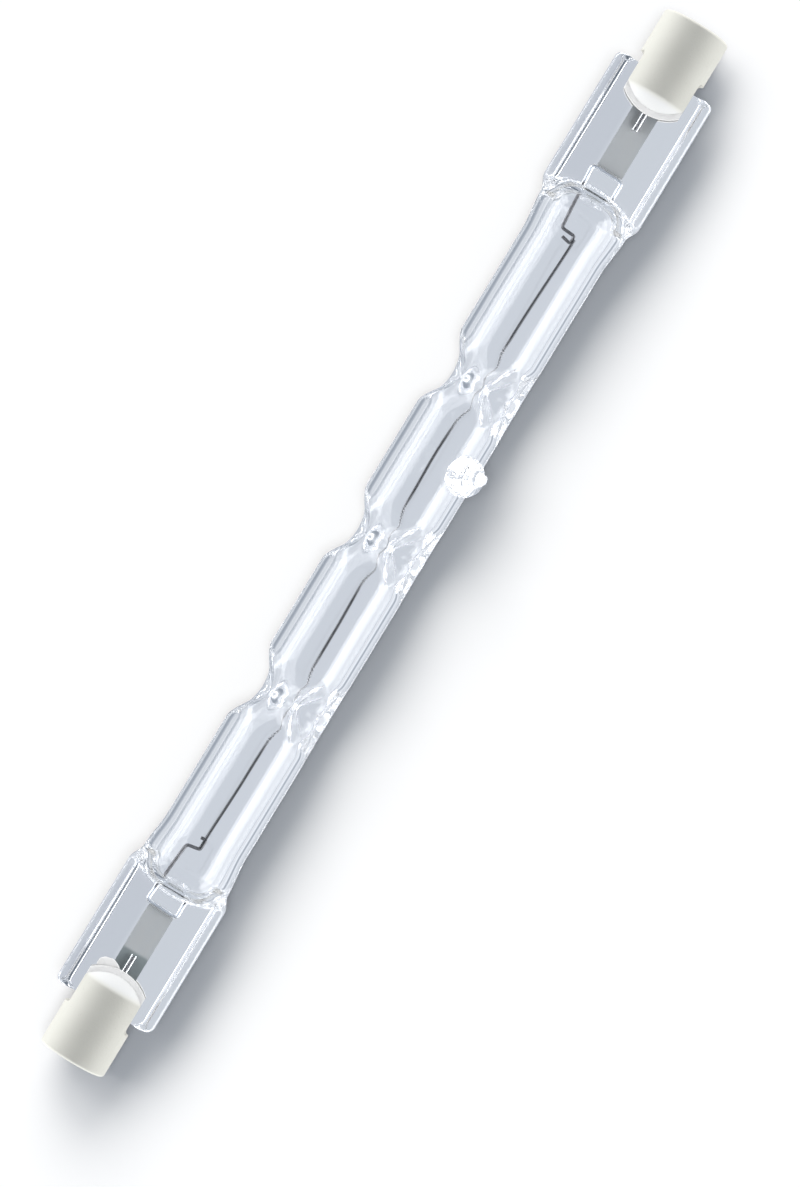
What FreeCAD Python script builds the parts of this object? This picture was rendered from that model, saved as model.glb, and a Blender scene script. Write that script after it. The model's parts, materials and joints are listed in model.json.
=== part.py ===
import FreeCAD, Part
import math
import os
import re

import Sketcher

# Linear halogen bulb, double ended, 117.6 mm over its ceramic caps.
# The lamp lies along X with its middle at the origin. +Z points away from the flat
# sides of the pinches, and +Y along their width. Millimetres and degrees throughout.
# Angles round the tube are measured from +Y towards +Z.

SIZES = [
    ("lamp_length", 117.6, "over both ceramic caps"),
    ("tube_diameter", 8.9, "outside of the fused quartz tube"),
    ("tube_wall", 1.0, "wall of the tube, also at the crimps"),
    ("flare_diameter", 9.6, "tube where it widens towards a pinch"),
    ("flare_start", 7.4, "from the start of the widening to the web"),
    ("flare_end", 4.2, "from the end of the widening to the web"),
    ("shoulder_round", 2.6, "rounded end of the tube above the pinch"),
    ("end_wall", 0.9, "glass between the bulb space and the shoulder face"),
    ("space_round", 1.9, "rounded end of the bulb space"),
    ("web_length", 13.0, "thin middle of a pinch, along the lamp"),
    ("web_thickness", 2.0, "thin middle of a pinch"),
    ("pinch_width", 10.8, "over both rails"),
    ("rail_thickness", 3.2, "thick edges of a pinch"),
    ("rail_width", 1.25, "flat top of a rail"),
    ("rail_slope", 0.5, "run of the slope from a rail down to the web"),
    ("rail_round", 0.55, "outer edges of a rail"),
    ("rail_lap", 2.0, "rails run past the web onto the tube"),
    ("heel_round", 1.5, "corners of a pinch beside the tube"),
    ("toe_round", 0.6, "corners of a pinch at its free end"),
    ("crimp_count", 3, "places where the tube is crimped"),
    ("crimp_pitch", 18.0, "from one crimp to the next"),
    ("crimp_dents", 3, "dents round the tube at each crimp"),
    ("crimp_turn", -7.0, "angle of the first dent"),
    ("crimp_bore", 0.6, "free radius left round the axis"),
    ("crimp_curve", 6.9, "radius of a dent across the tube"),
    ("crimp_flat", 2.0, "flat floor of a dent, along the lamp"),
    ("crimp_flank", 50.0, "slope of a dent's two flanks"),
    ("crimp_lip", 0.5, "jaw that presses a dent, proud of the tube"),
    ("tip_station", 9.45, "exhaust tip, from the middle of the lamp"),
    ("tip_angle", 137.0, "direction of the exhaust tip"),
    ("tip_lean", 14.0, "lean of the exhaust tip along the lamp"),
    ("tip_ball", 4.1, "diameter of the melted ball"),
    ("tip_tail", 0.9, "diameter of the drawn-off tail's end"),
    ("tip_tail_reach", 2.8, "from the ball's middle to the tail's end"),
    ("tip_neck_angle", 58.0, "where the neck leaves the ball"),
    ("tip_bore", 1.5, "diameter of the sealed exhaust hole"),
    ("tip_bore_depth", 0.7, "depth of that hole past the ball's middle"),
    ("filament_diameter", 0.36, "over the coil of tungsten wire"),
    ("filament_inset", 4.85, "from the web's start in to the filament's end"),
    ("lead_diameter", 0.35, "inner lead wire"),
    ("lead_touch", 0.02, "gap between filament and inner lead"),
    ("lead_cross", 2.1, "from the web's start to the cross leg of the lead"),
    ("lead_high", 1.75, "long leg, above the axis at the cross leg"),
    ("lead_low", 1.6, "short leg, below the axis"),
    ("lead_short", 2.3, "length of the short leg"),
    ("lead_down", 0.4, "from the filament's end out to the down leg"),
    ("lead_knee_high", 1.25, "long leg, above the axis at the down leg"),
    ("lead_foot", 1.0, "foot that carries the filament's end"),
    ("lead_hook", 0.75, "hook at the end of the foot"),
    ("foil_width", 2.8, "molybdenum foil"),
    ("foil_thickness", 0.05, "molybdenum foil"),
    ("foil_start", 3.0, "from the web's start to the foil"),
    ("foil_bulge", 0.35, "curve of the foil's inner end"),
    ("foil_end_gap", 2.3, "from the foil to the glass end"),
    ("weld_gap", 0.01, "between a foil and the wires on it"),
    ("outer_lead_diameter", 0.5, "outer lead wire"),
    ("outer_lead_lap", 5.7, "outer lead inside the glass"),
    ("wire_gap", 0.05, "thin slit that the pressed glass leaves round a wire"),
    ("foil_gap", 0.01, "thin gap round a foil"),
    ("cap_diameter", 7.1, "ceramic cap"),
    ("cap_body", 8.0, "straight part of a cap"),
    ("cap_dome", 4.4, "radius of a cap's rounded nose"),
    ("cap_brow", 2.6, "radius at which the nose turns from steep to blunt"),
    ("cap_edge", 0.4, "chamfer at a cap's outer edge"),
    ("cap_overhang", 6.0, "from the glass end to the cap's outer face"),
    ("cap_slot", 3.4, "width of the slot that takes the pinch"),
    ("cap_slot_depth", 4.75, "from the outer face to the slot's floor"),
    ("cap_slot_bevel", 0.4, "bevels at the slot's floor"),
    ("cap_recess", 4.6, "diameter of the open recess over the contact"),
    ("cap_hole", 1.6, "diameter of the hole for the contact's shank"),
    ("contact_depth", 1.7, "depth of that recess, down to the contact's face"),
    ("contact_head", 4.0, "diameter of the contact's head"),
    ("contact_head_height", 0.75, "contact head"),
    ("contact_gap", 0.05, "round the head in its seat and the shank in its hole"),
    ("contact_shank", 1.0, "length of the shank"),
    ("cement_width", 6.2, "cement across the lamp, inside the cap's slot"),
    ("cement_bead", 0.2, "cement proud of the cap's rounded nose"),
    ("cement_gap", 0.01, "between the cement and what it holds"),
]

SIZE_NAMES = {name for name, _, _ in SIZES}

# Places that several pieces share, written with the sizes above.
GLASS_END = "(lamp_length / 2 - cap_overhang)"
WEB_START = f"({GLASS_END} - web_length)"
FILAMENT_END = f"({WEB_START} - filament_inset)"
TUBE_RADIUS = "(tube_diameter / 2)"
FLARE_RADIUS = "(flare_diameter / 2)"
DENT_FLOOR = "(crimp_bore + tube_wall)"
DENT_CENTRE = f"({DENT_FLOOR} + crimp_curve)"
LEAD_PLANE = "(-lead_diameter / 2 - lead_touch / 2)"
FILAMENT_PLANE = "(filament_diameter / 2 + lead_touch / 2)"
FOIL_PLANE = f"({LEAD_PLANE} - lead_diameter / 2 - weld_gap - foil_thickness / 2)"
OUTER_LEAD_PLANE = f"({FOIL_PLANE} + foil_thickness / 2 + weld_gap + outer_lead_diameter / 2)"
SEAT_DEPTH = "(contact_depth + contact_head_height)"
SHANK_END = f"(lamp_length / 2 - {SEAT_DEPTH} - contact_shank)"
DOME_CENTRE = "(cap_body - sqrt(cap_dome ^ 2 - cap_diameter ^ 2 / 4))"

SIDES = (("left", -1), ("right", 1))

doc = FreeCAD.newDocument("linear_halogen_bulb")
sizes = doc.addObject("Spreadsheet::Sheet", "sizes")


def fill_sheet():
    """Writes name, size and note of every driving dimension into the sheet."""
    for row, (name, size, note) in enumerate(SIZES, start=1):
        sizes.set(f"A{row}", name)
        sizes.set(f"B{row}", str(size))
        sizes.set(f"C{row}", note)
        sizes.setAlias(f"B{row}", name)
    doc.recompute()


def named(expression):
    """Points each size's name in an expression at its cell."""
    def in_sheet(word):
        return f"sizes.{word.group(0)}" if word.group(0) in SIZE_NAMES else word.group(0)
    return re.sub(r"[a-z_]+", in_sheet, expression)


def value(expression):
    """The number that an expression over the sheet gives."""
    return float(sizes.evalExpression(named(expression)))


def bind(thing, setting, expression):
    """Ties one setting of an object to the sheet."""
    thing.setExpression(setting, named(expression))


def origin_part(body, role):
    """One of the body's own origin planes or axes."""
    return next(each for each in body.Origin.OriginFeatures if each.Role == role)


def new_body(name):
    """An empty body that may hold several lumps while it is being made."""
    body = doc.addObject("PartDesign::Body", name)
    body.AllowCompound = True
    return body


def new_sketch(body, name, plane):
    """An empty sketch on one of the body's origin planes."""
    sketch = body.newObject("Sketcher::SketchObject", name)
    sketch.AttachmentSupport = [(origin_part(body, plane), "")]
    sketch.MapMode = "FlatFace"
    return sketch


def corner(across, up, rounding=None, arc=None):
    """One corner of an outline, as expressions.

    A rounding blends the two edges that meet there. An arc makes the edge that leaves
    the corner a curve of that radius, which bends left if it is positive.
    """
    return {"at": (across, up), "rounding": rounding, "arc": arc}


def vector(x, y):
    return FreeCAD.Vector(x, y, 0)


def tangent_points(before, here, after, radius):
    """Where a rounding of that radius leaves the two edges that meet in a corner."""
    back = (before - here).normalize()
    ahead = (after - here).normalize()
    half_angle = back.getAngle(ahead) / 2
    reach = radius / math.tan(half_angle)
    return here + back * reach, here + ahead * reach


def arc_through(start, end, radius, to_left):
    """The shorter arc of that radius from start to end, and whether it runs start to end."""
    chord = end - start
    middle = (start + end) / 2
    rise = math.sqrt(max(radius ** 2 - chord.Length ** 2 / 4, 0))
    left = vector(-chord.y, chord.x).normalize()
    centre = middle + left * (rise if to_left else -rise)
    first, last = (start, end) if to_left else (end, start)
    begin = math.atan2(first.y - centre.y, first.x - centre.x)
    finish = math.atan2(last.y - centre.y, last.x - centre.x)
    circle = Part.Circle(centre, FreeCAD.Vector(0, 0, 1), radius)
    return Part.ArcOfCircle(circle, begin, finish)


def fix_point(sketch, index, position, at, label):
    """Holds one point of the sketch at two expressions."""
    for axis, letter, expression in (("DistanceX", "x", at[0]), ("DistanceY", "y", at[1])):
        number = sketch.addConstraint(
            Sketcher.Constraint(axis, -1, 1, index, position, value(expression)))
        sketch.renameConstraint(number, f"{letter}_{label}")
        bind(sketch, f"Constraints.{letter}_{label}", expression)


def fix_radius(sketch, index, expression, label):
    """Ties an arc's radius to an expression."""
    number = sketch.addConstraint(Sketcher.Constraint("Radius", index, value(expression)))
    sketch.renameConstraint(number, f"radius_{label}")
    bind(sketch, f"Constraints.radius_{label}", expression)


def draw_outline(sketch, corners, closed=True):
    """Draws an outline, closed or open, whose corners and radii follow the sheet."""
    count = len(corners)
    places = [vector(value(c["at"][0]), value(c["at"][1])) for c in corners]
    starts = list(places)
    ends = list(places)
    for i, c in enumerate(corners):
        if c["rounding"]:
            ends[i], starts[i] = tangent_points(
                places[i - 1], places[i], places[(i + 1) % count], value(c["rounding"]))
    edges = []
    for i in range(count if closed else count - 1):
        start = starts[i]
        end = ends[(i + 1) % count]
        if corners[i]["arc"]:
            bend = value(corners[i]["arc"])
            curve = arc_through(start, end, abs(bend), bend > 0)
            index = sketch.addGeometry(curve, False)
            radius = f"abs({corners[i]['arc']})"
            edges.append((index, 1, 2) if bend > 0 else (index, 2, 1))
            fix_radius(sketch, index, radius, f"edge_{i}")
        else:
            edges.append((sketch.addGeometry(Part.LineSegment(start, end), False), 1, 2))
    for i, c in enumerate(corners):
        if not closed and i == 0:
            fix_point(sketch, edges[0][0], edges[0][1], c["at"], i)
            continue
        if not closed and i == count - 1:
            fix_point(sketch, edges[-1][0], edges[-1][2], c["at"], i)
            continue
        before = edges[i - 1]
        after = edges[i]
        if not c["rounding"]:
            sketch.addConstraint(
                Sketcher.Constraint("Coincident", before[0], before[2], after[0], after[1]))
            fix_point(sketch, after[0], after[1], c["at"], i)
            continue
        back = places[i] - places[i - 1]
        ahead = places[(i + 1) % count] - places[i]
        to_left = back.cross(ahead).z > 0
        curve = arc_through(ends[i], starts[i], value(c["rounding"]), to_left)
        index = sketch.addGeometry(curve, False)
        first, last = (1, 2) if to_left else (2, 1)
        sketch.addConstraint(Sketcher.Constraint("Tangent", before[0], before[2], index, first))
        sketch.addConstraint(Sketcher.Constraint("Tangent", index, last, after[0], after[1]))
        fix_radius(sketch, index, c["rounding"], i)
        point = sketch.addGeometry(Part.Point(places[i]), True)
        sketch.addConstraint(Sketcher.Constraint("PointOnObject", point, 1, before[0]))
        sketch.addConstraint(Sketcher.Constraint("PointOnObject", point, 1, after[0]))
        fix_point(sketch, point, 1, c["at"], i)


def revolve(body, name, corners, plane="XY_Plane"):
    """A solid of revolution about X, from half its outline."""
    sketch = new_sketch(body, f"{name}_outline", plane)
    draw_outline(sketch, corners)
    turned = body.newObject("PartDesign::Revolution", name)
    turned.Profile = sketch
    turned.ReferenceAxis = (sketch, ["H_Axis"])
    turned.Angle = 360
    return turned


def both_halves(right_half):
    """A whole outline from its right half, which runs outwards from the middle."""
    left_half = [corner(f"-({c['at'][0]})", c["at"][1]) for c in reversed(right_half)]
    return left_half + right_half


def rounded_end(end, radius, rounding, steps):
    """The rounded end of a turned form, in a few even facets."""
    corners = []
    for step in range(steps + 1):
        angle = f"({step} * 90 / {steps} * 1 deg)"
        corners.append(corner(
            f"({end} - {rounding} * (1 - sin{angle}))",
            f"({radius} - {rounding} * (1 - cos{angle}))"))
    return corners


def make_jaw_bars(name, inset):
    """Round bars along the tube, one for each dent of a crimp, that give the dents' curve."""
    body = new_body(f"{name}_bars")
    sketch = new_sketch(body, f"{name}_bar_section", "YZ_Plane")
    bind(sketch, "AttachmentOffset.Rotation.Angle", "crimp_turn")
    ring = sketch.addGeometry(Part.Circle(
        vector(value(DENT_CENTRE), 0), FreeCAD.Vector(0, 0, 1), value("crimp_curve")), False)
    fix_point(sketch, ring, 3, (DENT_CENTRE, "0"), "middle")
    fix_radius(sketch, ring, f"crimp_curve + {inset}", "bar")
    bar = body.newObject("PartDesign::Pad", f"{name}_bar")
    bar.Profile = sketch
    bar.Midplane = True
    bind(bar, "Length", "crimp_pitch * crimp_count")
    doc.recompute()
    around = body.newObject("PartDesign::PolarPattern", f"{name}_bars_around")
    around.Originals = [bar]
    around.Axis = (origin_part(body, "X_Axis"), [""])
    around.Angle = 360
    bind(around, "Occurrences", "crimp_dents")
    body.Tip = around
    return body


def make_jaw_wedges(name, inset):
    """Blocks across the tube, one for each dent, that give the dents' sloped flanks."""
    body = new_body(f"{name}_wedges")
    sketch = new_sketch(body, f"{name}_wedge_section", "XY_Plane")
    sketch.AttachmentOffset = FreeCAD.Placement(
        FreeCAD.Vector(-value("crimp_pitch"), 0, 0),
        FreeCAD.Rotation(FreeCAD.Vector(1, 0, 0), value("crimp_turn")))
    bind(sketch, "AttachmentOffset.Base.x", "-crimp_pitch * (crimp_count - 1) / 2")
    floor = f"({DENT_FLOOR} - {inset})"
    floor_end = f"(crimp_flat / 2 + {inset} * tan(crimp_flank / 2 * 1 deg))"
    highest = f"({TUBE_RADIUS} + crimp_lip)"
    draw_outline(sketch, both_halves([
        corner(f"({floor_end} - {floor} / 2 / tan(crimp_flank * 1 deg))", f"({floor} / 2)"),
        corner(f"({floor_end} + ({highest} - {floor}) / tan(crimp_flank * 1 deg))", highest),
    ]))
    wedge = body.newObject("PartDesign::Pad", f"{name}_wedge")
    wedge.Profile = sketch
    wedge.Midplane = True
    bind(wedge, "Length", "tube_diameter + 2 * crimp_lip")
    doc.recompute()
    repeat = body.newObject("PartDesign::MultiTransform", f"{name}_wedges_all")
    around = body.newObject("PartDesign::PolarPattern", f"{name}_wedges_around")
    around.Axis = (origin_part(body, "X_Axis"), [""])
    around.Angle = 360
    bind(around, "Occurrences", "crimp_dents")
    along = body.newObject("PartDesign::LinearPattern", f"{name}_wedges_along")
    along.Direction = (origin_part(body, "X_Axis"), [""])
    bind(along, "Length", "crimp_pitch * (crimp_count - 1)")
    bind(along, "Occurrences", "crimp_count")
    repeat.Originals = [wedge]
    repeat.Transformations = [around, along]
    body.Tip = repeat
    return body


def crimped(name, body, inset):
    """The body with the dents of every crimp pressed in, moved inwards by an inset."""
    jaws = common(f"{name}_jaws", [make_jaw_bars(name, inset), make_jaw_wedges(name, inset)])
    return cut(name, body, jaws)


def make_tube_form():
    """The tube's outside: crimped, widened towards the pinches and rounded over there."""
    body = new_body("plain_tube")
    revolve(body, "tube_turned", both_halves([
        corner(f"({WEB_START} - flare_start)", TUBE_RADIUS),
        corner(f"({WEB_START} - flare_end)", FLARE_RADIUS),
        *rounded_end(WEB_START, FLARE_RADIUS, "shoulder_round", 2),
        corner(WEB_START, "0"),
    ]))
    return crimped("tube_form", body, "0")


def make_bulb_space():
    """The gas-filled space inside the tube."""
    body = new_body("plain_space")
    end = f"({WEB_START} - end_wall)"
    revolve(body, "space_turned", both_halves([
        *rounded_end(end, f"({TUBE_RADIUS} - tube_wall)", "space_round", 1),
        corner(end, "0"),
    ]))
    return crimped("bulb_space", body, "tube_wall")


def make_pinch_bar():
    """A bar with the pinches' section, thick rails either side of a thin web."""
    body = new_body("pinch_bar")
    sketch = new_sketch(body, "pinch_section", "YZ_Plane")
    edge = "(pinch_width / 2)"
    crest = f"({edge} - rail_width)"
    foot = f"({crest} - rail_slope)"
    rail = "(rail_thickness / 2)"
    web = "(web_thickness / 2)"
    draw_outline(sketch, [
        corner(edge, f"-{rail}", "rail_round"),
        corner(edge, rail, "rail_round"),
        corner(crest, rail),
        corner(foot, web),
        corner(f"-{foot}", web),
        corner(f"-{crest}", rail),
        corner(f"-{edge}", rail, "rail_round"),
        corner(f"-{edge}", f"-{rail}", "rail_round"),
        corner(f"-{crest}", f"-{rail}"),
        corner(f"-{foot}", f"-{web}"),
        corner(foot, f"-{web}"),
        corner(crest, f"-{rail}"),
    ])
    bar = body.newObject("PartDesign::Pad", "pinch_run")
    bar.Profile = sketch
    bar.Midplane = True
    bind(bar, "Length", f"2 * {GLASS_END}")
    return body


def make_pinch_plan():
    """Both pinches as seen from above, with their rounded corners."""
    body = new_body("pinch_plan")
    start = f"({WEB_START} - rail_lap)"
    edge = "(pinch_width / 2)"
    for side, sign in SIDES:
        sketch = new_sketch(body, f"pinch_plan_{side}", "XY_Plane")
        draw_outline(sketch, [
            corner(f"{sign} * {start}", f"-{edge}", "heel_round"),
            corner(f"{sign} * {GLASS_END}", f"-{edge}", "toe_round"),
            corner(f"{sign} * {GLASS_END}", edge, "toe_round"),
            corner(f"{sign} * {start}", edge, "heel_round"),
        ])
        plate = body.newObject("PartDesign::Pad", f"pinch_plate_{side}")
        plate.Profile = sketch
        plate.Midplane = True
        bind(plate, "Length", "2 * rail_thickness")
        doc.recompute()
    return body


def stand_on_tube(piece):
    """Sets a piece made along X on the tube's surface, in the exhaust tip's direction."""
    lean = FreeCAD.Rotation(FreeCAD.Vector(0, 0, 1), 90 - value("tip_lean"))
    turn = FreeCAD.Rotation(FreeCAD.Vector(1, 0, 0), value("tip_angle"))
    piece.Placement = FreeCAD.Placement(FreeCAD.Vector(0, 0, 0), turn * lean)
    bind(piece, "Placement.Base.x", "tip_station")
    bind(piece, "Placement.Base.y", f"{TUBE_RADIUS} * cos(tip_angle * 1 deg)")
    bind(piece, "Placement.Base.z", f"{TUBE_RADIUS} * sin(tip_angle * 1 deg)")


def make_tip():
    """The melted ball that seals the exhaust hole, with its drawn-off tail."""
    body = new_body("tip_form")
    ball = "(tip_ball / 2)"
    tail = "(tip_tail / 2)"
    revolve(body, "tip_turned", [
        corner(f"-{ball}", "0", arc=f"-{ball}"),
        corner("0", ball, arc=f"-{ball}"),
        corner(f"{ball} * sin(tip_neck_angle * 1 deg)", f"{ball} * cos(tip_neck_angle * 1 deg)"),
        corner("tip_tail_reach", tail),
        corner("tip_tail_reach", "0"),
    ])
    stand_on_tube(body)
    return body


def make_tip_bore():
    """The sealed exhaust hole, from the bulb space into the tip."""
    body = new_body("tip_bore_space")
    hole = "(tip_bore / 2)"
    revolve(body, "tip_bore_turned", [
        corner("-tube_wall - tip_bore / 2", "0"),
        corner("-tube_wall - tip_bore / 2", hole),
        corner("tip_bore_depth", hole),
        corner("tip_bore_depth", "0"),
    ])
    stand_on_tube(body)
    return body


def lead_path(sign, margin):
    """Route of an inner lead: short leg, cross leg on the foil, long leg, foot and hook."""
    start = f"{sign} * ({WEB_START} + lead_cross - lead_short - {margin})"
    cross = f"{sign} * ({WEB_START} + lead_cross)"
    knee = f"{sign} * ({FILAMENT_END} + lead_down)"
    toe = f"{sign} * ({FILAMENT_END} + lead_down - lead_foot)"
    return [
        corner(start, "-lead_low"),
        corner(cross, "-lead_low"),
        corner(cross, "lead_high"),
        corner(knee, "lead_knee_high"),
        corner(knee, "0"),
        corner(toe, "0"),
        corner(toe, "lead_hook"),
    ]


def bent_pipe(name, sign, margin, draw_section):
    """A section led along an inner lead's route, with mitred corners."""
    body = new_body(name)
    route = lead_path(sign, margin)
    path = new_sketch(body, f"{name}_path", "XY_Plane")
    draw_outline(path, route, closed=False)
    section = new_sketch(body, f"{name}_section", "YZ_Plane")
    bind(section, "AttachmentOffset.Base.x", route[0]["at"][1])
    bind(section, "AttachmentOffset.Base.z", route[0]["at"][0])
    draw_section(section)
    pipe = body.newObject("PartDesign::AdditivePipe", f"{name}_pipe")
    pipe.Profile = section
    pipe.Spine = (path, [])
    pipe.Mode = "Standard"
    pipe.Transition = "Right corner"
    bind(body, "Placement.Base.z", LEAD_PLANE)
    return body


def make_inner_lead(name, sign):
    """The bent wire between a foil and the filament."""
    def draw_wire(section):
        ring = section.addGeometry(Part.Circle(
            vector(0, 0), FreeCAD.Vector(0, 0, 1), value("lead_diameter / 2")), False)
        section.addConstraint(Sketcher.Constraint("Coincident", ring, 3, -1, 1))
        fix_radius(section, ring, "lead_diameter / 2", "wire")
    return bent_pipe(name, sign, "0", draw_wire)


def make_inner_lead_slit(name, sign):
    """The slit round an inner lead, with flat walls from the pressing."""
    half = "(lead_diameter / 2 + wire_gap)"

    def draw_slit(section):
        draw_outline(section, [
            corner(f"-{half}", f"-{half}"),
            corner(half, f"-{half}"),
            corner(half, half),
            corner(f"-{half}", half),
        ])
    return bent_pipe(name, sign, "wire_gap", draw_slit)


def make_outer_lead(name, sign):
    """The straight wire from a foil to a contact."""
    rod = doc.addObject("Part::Cylinder", name)
    rod.Placement = FreeCAD.Placement(
        FreeCAD.Vector(0, 0, 0), FreeCAD.Rotation(FreeCAD.Vector(0, 1, 0), 90 * sign))
    bind(rod, "Radius", "outer_lead_diameter / 2")
    bind(rod, "Height", f"{SHANK_END} - {GLASS_END} + outer_lead_lap")
    bind(rod, "Placement.Base.x", f"{sign} * ({GLASS_END} - outer_lead_lap)")
    bind(rod, "Placement.Base.z", OUTER_LEAD_PLANE)
    return rod


def make_outer_lead_slit(name, sign):
    """The slit round an outer lead, open at the glass's end."""
    slit = doc.addObject("Part::Box", name)
    width = "(outer_lead_diameter + 2 * wire_gap)"
    inner_end = f"({GLASS_END} - outer_lead_lap - wire_gap)"
    length = "(outer_lead_lap + 2 * wire_gap)"
    bind(slit, "Length", length)
    bind(slit, "Width", width)
    bind(slit, "Height", width)
    bind(slit, "Placement.Base.x", inner_end if sign > 0 else f"-({inner_end} + {length})")
    bind(slit, "Placement.Base.y", f"-{width} / 2")
    bind(slit, "Placement.Base.z", f"{OUTER_LEAD_PLANE} - {width} / 2")
    return slit


def make_foil(name, sign, margin):
    """The thin strip sealed in a pinch, or the space that it leaves."""
    body = new_body(name)
    sketch = new_sketch(body, f"{name}_outline", "XY_Plane")
    start = f"({WEB_START} + foil_start - {margin})"
    end = f"({GLASS_END} - foil_end_gap + {margin})"
    half = f"(foil_width / 2 + {margin})"
    curve = f"(({half} ^ 2 + foil_bulge ^ 2) / (2 * foil_bulge))"
    draw_outline(sketch, [
        corner(f"{sign} * {start}", half, arc=f"{-sign} * {curve}"),
        corner(f"{sign} * {start}", f"-{half}"),
        corner(f"{sign} * {end}", f"-{half}"),
        corner(f"{sign} * {end}", half),
    ])
    strip = body.newObject("PartDesign::Pad", f"{name}_strip")
    strip.Profile = sketch
    strip.Midplane = True
    bind(strip, "Length", f"foil_thickness + 2 * {margin}")
    bind(body, "Placement.Base.z", FOIL_PLANE)
    return body


def fuse(name, pieces):
    """One solid of several that meet."""
    whole = doc.addObject("Part::MultiFuse", name)
    whole.Shapes = pieces
    whole.Refine = False
    return whole


def common(name, pieces):
    """What several solids share."""
    shared = doc.addObject("Part::MultiCommon", name)
    shared.Shapes = pieces
    return shared


def cut(name, base, tool):
    """A solid with another taken away."""
    rest = doc.addObject("Part::Cut", name)
    rest.Base = base
    rest.Tool = tool
    return rest


def make_glass():
    """The fused quartz envelope, one piece from pinch to pinch."""
    pinches = common("pinches", [make_pinch_bar(), make_pinch_plan()])
    outside = fuse("glass_outside", [make_tube_form(), pinches, make_tip()])
    spaces = [make_bulb_space(), make_tip_bore()]
    for side, sign in SIDES:
        spaces.append(make_inner_lead_slit(f"lead_slit_{side}", sign))
        spaces.append(make_foil(f"foil_space_{side}", sign, "foil_gap"))
        spaces.append(make_outer_lead_slit(f"outer_lead_slit_{side}", sign))
    return cut("glass_envelope", outside, fuse("glass_spaces", spaces))


def make_filament():
    """The coiled tungsten filament, as one slim rod of the coil's outer size."""
    coil = doc.addObject("Part::Cylinder", "filament")
    coil.Placement = FreeCAD.Placement(
        FreeCAD.Vector(0, 0, 0), FreeCAD.Rotation(FreeCAD.Vector(0, 1, 0), 90))
    bind(coil, "Radius", "filament_diameter / 2")
    bind(coil, "Height", f"2 * {FILAMENT_END}")
    bind(coil, "Placement.Base.x", f"-{FILAMENT_END}")
    bind(coil, "Placement.Base.z", FILAMENT_PLANE)
    return coil


def place_at_end(piece, sign):
    """Puts a piece, made with its outer face at the origin, at one end of the lamp."""
    turn = 0 if sign > 0 else 180
    piece.Placement = FreeCAD.Placement(
        FreeCAD.Vector(0, 0, 0), FreeCAD.Rotation(FreeCAD.Vector(0, 0, 1), turn))
    bind(piece, "Placement.Base.x", f"{sign} * lamp_length / 2")


def add_slot(body, name, width, floor, bevel="0"):
    """Cuts the slot that takes the pinch, right through the body along Y."""
    sketch = new_sketch(body, f"{name}_outline", "XZ_Plane")
    mouth = "(cap_body + cap_dome)"
    half = f"({width} / 2)"
    floor_corners = [corner(f"-{floor}", f"-{half}"), corner(f"-{floor}", half)]
    if bevel != "0":
        floor_corners = [
            corner(f"-({floor} + {bevel})", f"-{half}"),
            corner(f"-{floor}", f"{bevel} - {half}"),
            corner(f"-{floor}", f"{half} - {bevel}"),
            corner(f"-({floor} + {bevel})", half),
        ]
    draw_outline(sketch, [
        corner(f"-{mouth}", f"-{half}"),
        *floor_corners,
        corner(f"-{mouth}", half),
    ])
    slot = body.newObject("PartDesign::Pocket", name)
    slot.Profile = sketch
    slot.Midplane = True
    bind(slot, "Length", "2 * cap_diameter")


def make_cap(side, sign):
    """A ceramic cap: open recess, seat and hole for the contact, slot for the pinch."""
    body = new_body(f"ceramic_cap_{side}")
    radius = "(cap_diameter / 2)"
    hole = "(cap_hole / 2)"
    seat = "(contact_head / 2 + contact_gap)"
    nose = f"({DOME_CENTRE} + sqrt(cap_dome ^ 2 - {hole} ^ 2))"
    brow = f"({DOME_CENTRE} + sqrt(cap_dome ^ 2 - cap_brow ^ 2))"
    revolve(body, f"cap_{side}_turned", [
        corner(f"-{SEAT_DEPTH}", hole),
        corner(f"-{SEAT_DEPTH}", seat),
        corner("-contact_depth", seat),
        corner("-contact_depth", "cap_recess / 2"),
        corner("0", "cap_recess / 2"),
        corner("0", f"{radius} - cap_edge"),
        corner("-cap_edge", radius),
        corner("-cap_body", radius),
        corner(f"-{brow}", "cap_brow"),
        corner(f"-{nose}", hole),
    ])
    add_slot(body, f"cap_{side}_slot", "cap_slot", "cap_slot_depth", "cap_slot_bevel")
    place_at_end(body, sign)
    return body


def make_contact(side, sign):
    """The metal contact button: a flat head and a shank."""
    body = new_body(f"contact_{side}")
    head = "(contact_head / 2)"
    shank = "(cap_hole / 2 - contact_gap)"
    revolve(body, f"contact_{side}_turned", [
        corner("-contact_depth", "0"),
        corner("-contact_depth", head),
        corner(f"-{SEAT_DEPTH}", head),
        corner(f"-{SEAT_DEPTH}", shank),
        corner(f"-({SEAT_DEPTH} + contact_shank)", shank),
        corner(f"-({SEAT_DEPTH} + contact_shank)", "0"),
    ])
    place_at_end(body, sign)
    return body


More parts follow.
